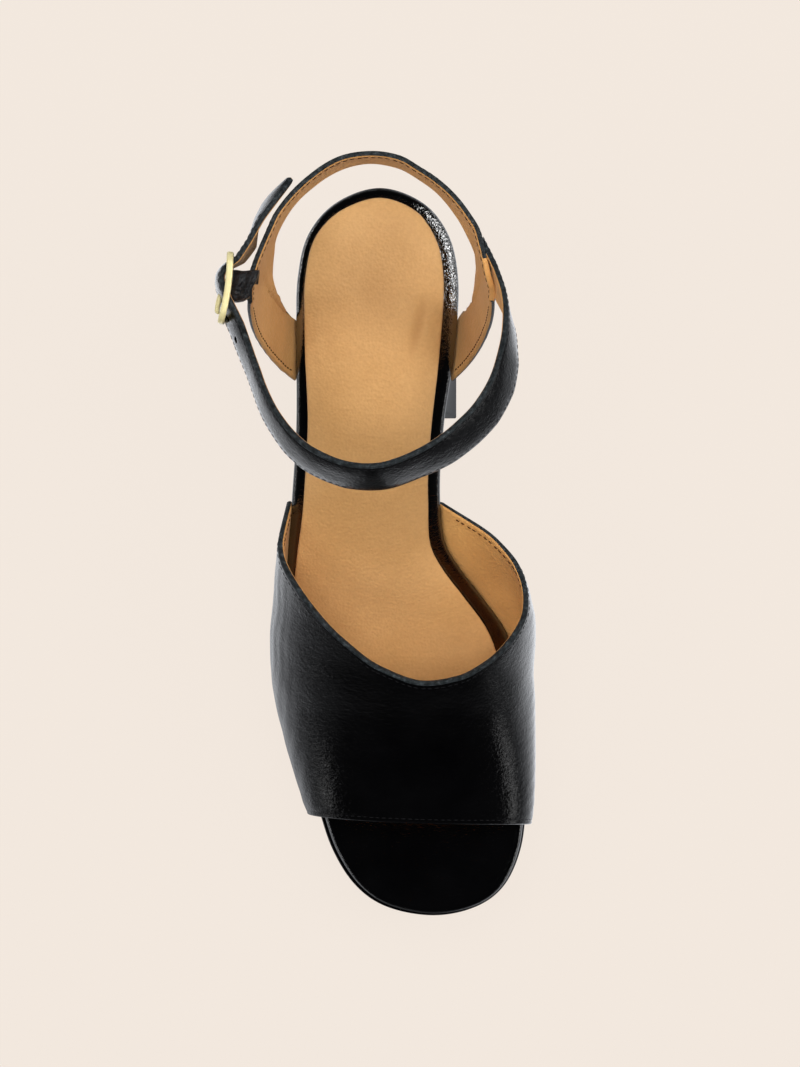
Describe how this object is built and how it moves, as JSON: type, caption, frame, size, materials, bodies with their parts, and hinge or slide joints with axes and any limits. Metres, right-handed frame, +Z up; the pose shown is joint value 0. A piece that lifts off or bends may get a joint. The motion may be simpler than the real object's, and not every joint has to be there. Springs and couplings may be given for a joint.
{
  "type": "platform sandal",
  "caption": "Open-toe platform sandal with a block heel, a wide vamp, a heel tab with a back strap and a buckled ankle strap.",
  "frame": {"origin": "centre of the heel's base, on the floor", "axes": "+Z up, +Y towards the back of the heel, -Y towards the toe, +X towards the medial (big toe) side"},
  "size_m": [0.1013, 0.24, 0.1783],
  "materials": {
    "patent": "gloss",
    "tan_leather": "matte",
    "elastic": "matte",
    "rubber": "matte",
    "gold_metal": "polished"
  },
  "bodies": {
    "root": {"outsole": "rubber", "top_piece": "rubber", "platform": "patent", "heel_block": "patent", "footbed": "patent", "vamp": "patent", "quarter_strap": "patent", "ankle_strap": "patent", "buckle_chape": "elastic", "sock": "tan_leather", "buckle_frame": "gold_metal", "buckle_prong": "gold_metal"}
  },
  "joints": []
}
